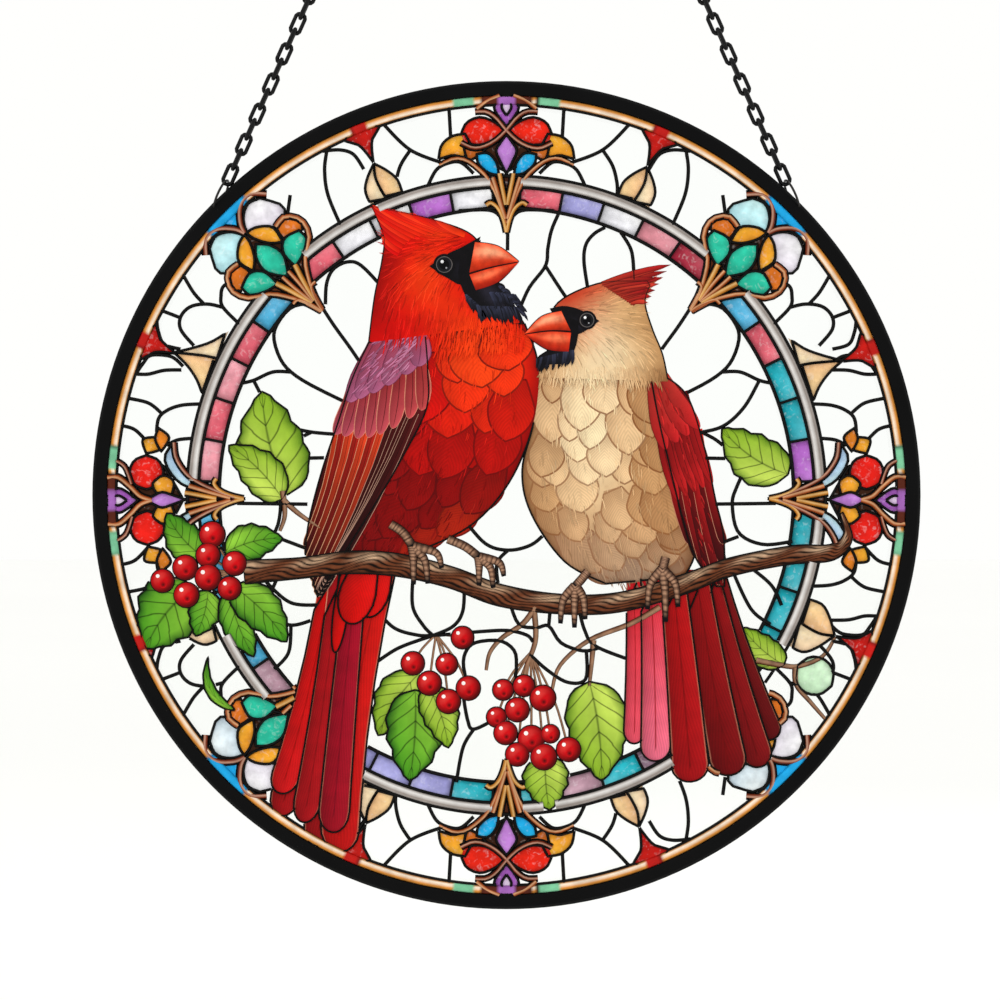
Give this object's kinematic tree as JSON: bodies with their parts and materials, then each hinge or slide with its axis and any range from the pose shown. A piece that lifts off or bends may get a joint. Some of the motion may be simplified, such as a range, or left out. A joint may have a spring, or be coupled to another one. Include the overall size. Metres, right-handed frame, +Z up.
{
  "type": "stained glass suncatcher",
  "caption": "Round stained glass suncatcher: clear pane in a black rim, raised leading with crested birds on a branch, and link chains that meet in a hanging ring.",
  "frame": {"origin": "inside top of the hanging ring, where the hook bears", "axes": "+Z up along the hang line, +X to the viewer's right, -Y the picture side"},
  "size_m": [0.2, 0.0084, 0.3332],
  "materials": {
    "black_metal": "satin black",
    "clear_glass": "clear, stained and enamelled in colours on the front",
    "bronze": "aged bronze",
    "lead": "black patina",
    "chain_metal": "satin black",
    "ring_wire": "darkened steel wire"
  },
  "bodies": {
    "root": {"rim": "black_metal", "glass_pane": "clear_glass", "bronze_came": "bronze", "leading": "lead", "chain_left": "chain_metal", "chain_right": "chain_metal", "jump_ring_left": "ring_wire", "jump_ring_right": "ring_wire", "hanging_ring": "chain_metal"}
  },
  "joints": []
}
